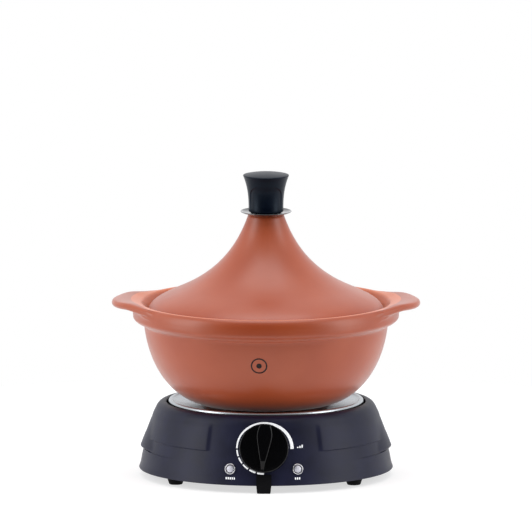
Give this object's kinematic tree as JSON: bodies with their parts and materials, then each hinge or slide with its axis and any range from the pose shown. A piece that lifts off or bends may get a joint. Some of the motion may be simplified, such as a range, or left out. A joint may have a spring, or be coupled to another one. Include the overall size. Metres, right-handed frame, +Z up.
{
  "type": "electric tagine pot",
  "caption": "Electric tagine: glazed stoneware bowl with side handles and a flared conical lid, standing on a round thermostat-controlled hot plate.",
  "frame": {"origin": "on the ground, under the pot's vertical axis", "axes": "+X to the right through the bowl's handles, -Y towards the control knob, +Z up"},
  "size_m": [0.3086, 0.266, 0.3052],
  "materials": {
    "terracotta_glaze": "satin",
    "knob_plastic": "satin",
    "collar_plastic": "gloss",
    "brass": "machined",
    "fastener_steel": "zinc plated",
    "silicone": "matte",
    "housing_plastic": "fine texture",
    "cover_plastic": "matte",
    "foot_rubber": "matte",
    "plate_aluminium": "satin pressed",
    "sheath_steel": "heat darkened",
    "pan_steel": "aluminised",
    "insulation_felt": "pressed fibre",
    "thermostat_ceramic": "matte",
    "dial_plastic": "satin gloss",
    "bezel_chrome": "polished",
    "lamp_lens": "clear",
    "neon_glass": "clear",
    "fuse_sleeve": "varnished glass fibre",
    "terminal_nylon": "matte",
    "lead_sleeve": "matte",
    "gland_plastic": "matte"
  },
  "bodies": {
    "base": {"base_housing": "housing_plastic", "bottom_cover": "cover_plastic", "front_foot": "foot_rubber", "foot_front_left": "foot_rubber", "foot_front_right": "foot_rubber", "foot_rear_left": "foot_rubber", "foot_rear_right": "foot_rubber", "foot_screws": "fastener_steel", "front_foot_screw": "fastener_steel", "cover_screws": "fastener_steel", "hot_plate": "plate_aluminium", "element_tube": "sheath_steel", "element_pins": "fastener_steel", "element_clamp": "pan_steel", "reflector_pan": "pan_steel", "insulation_ring": "insulation_felt", "plate_studs": "fastener_steel", "clamp_nuts": "fastener_steel", "hold_down_bar": "pan_steel", "pan_nuts": "fastener_steel", "thermostat_body": "thermostat_ceramic", "thermostat_bush": "brass", "thermostat_nut": "fastener_steel", "thermostat_bracket": "pan_steel", "bracket_screws": "fastener_steel", "power_lamp_bezel": "bezel_chrome", "heat_lamp_bezel": "bezel_chrome", "power_lamp_lens": "lamp_lens", "heat_lamp_lens": "lamp_lens", "power_lamp_neon": "neon_glass", "heat_lamp_neon": "neon_glass", "power_lamp_clip": "fastener_steel", "heat_lamp_clip": "fastener_steel", "thermal_fuse": "fuse_sleeve", "terminal_block": "terminal_nylon", "terminal_screws": "brass", "internal_leads": "lead_sleeve", "cord_gland": "gland_plastic"},
    "control": {"thermostat_spindle": "fastener_steel", "control_knob": "dial_plastic", "knob_spring_clip": "fastener_steel"},
    "bowl": {"bowl": "terracotta_glaze"},
    "lid": {"lid_shell": "terracotta_glaze", "lid_knob": "knob_plastic", "knob_collar": "collar_plastic", "knob_insert": "brass", "lid_bolt": "fastener_steel", "lid_bolt_washer": "fastener_steel", "lid_bolt_gasket": "silicone"}
  },
  "joints": [
    {"name": "bowl_lift", "type": "slide", "parent": "base", "child": "bowl", "axis": [0, 0, 1], "range_m": [0, 0.0519]},
    {"name": "lid_lift", "type": "slide", "parent": "bowl", "child": "lid", "axis": [0, 0, 1], "range_m": [0, 0.0758]},
    {"name": "control_turn", "type": "hinge", "parent": "base", "child": "control", "pos_m": [0, -0.11684, 0.0437], "axis": [0, -0.9668, 0.2554], "range_deg": [-270, 0]}
  ]
}
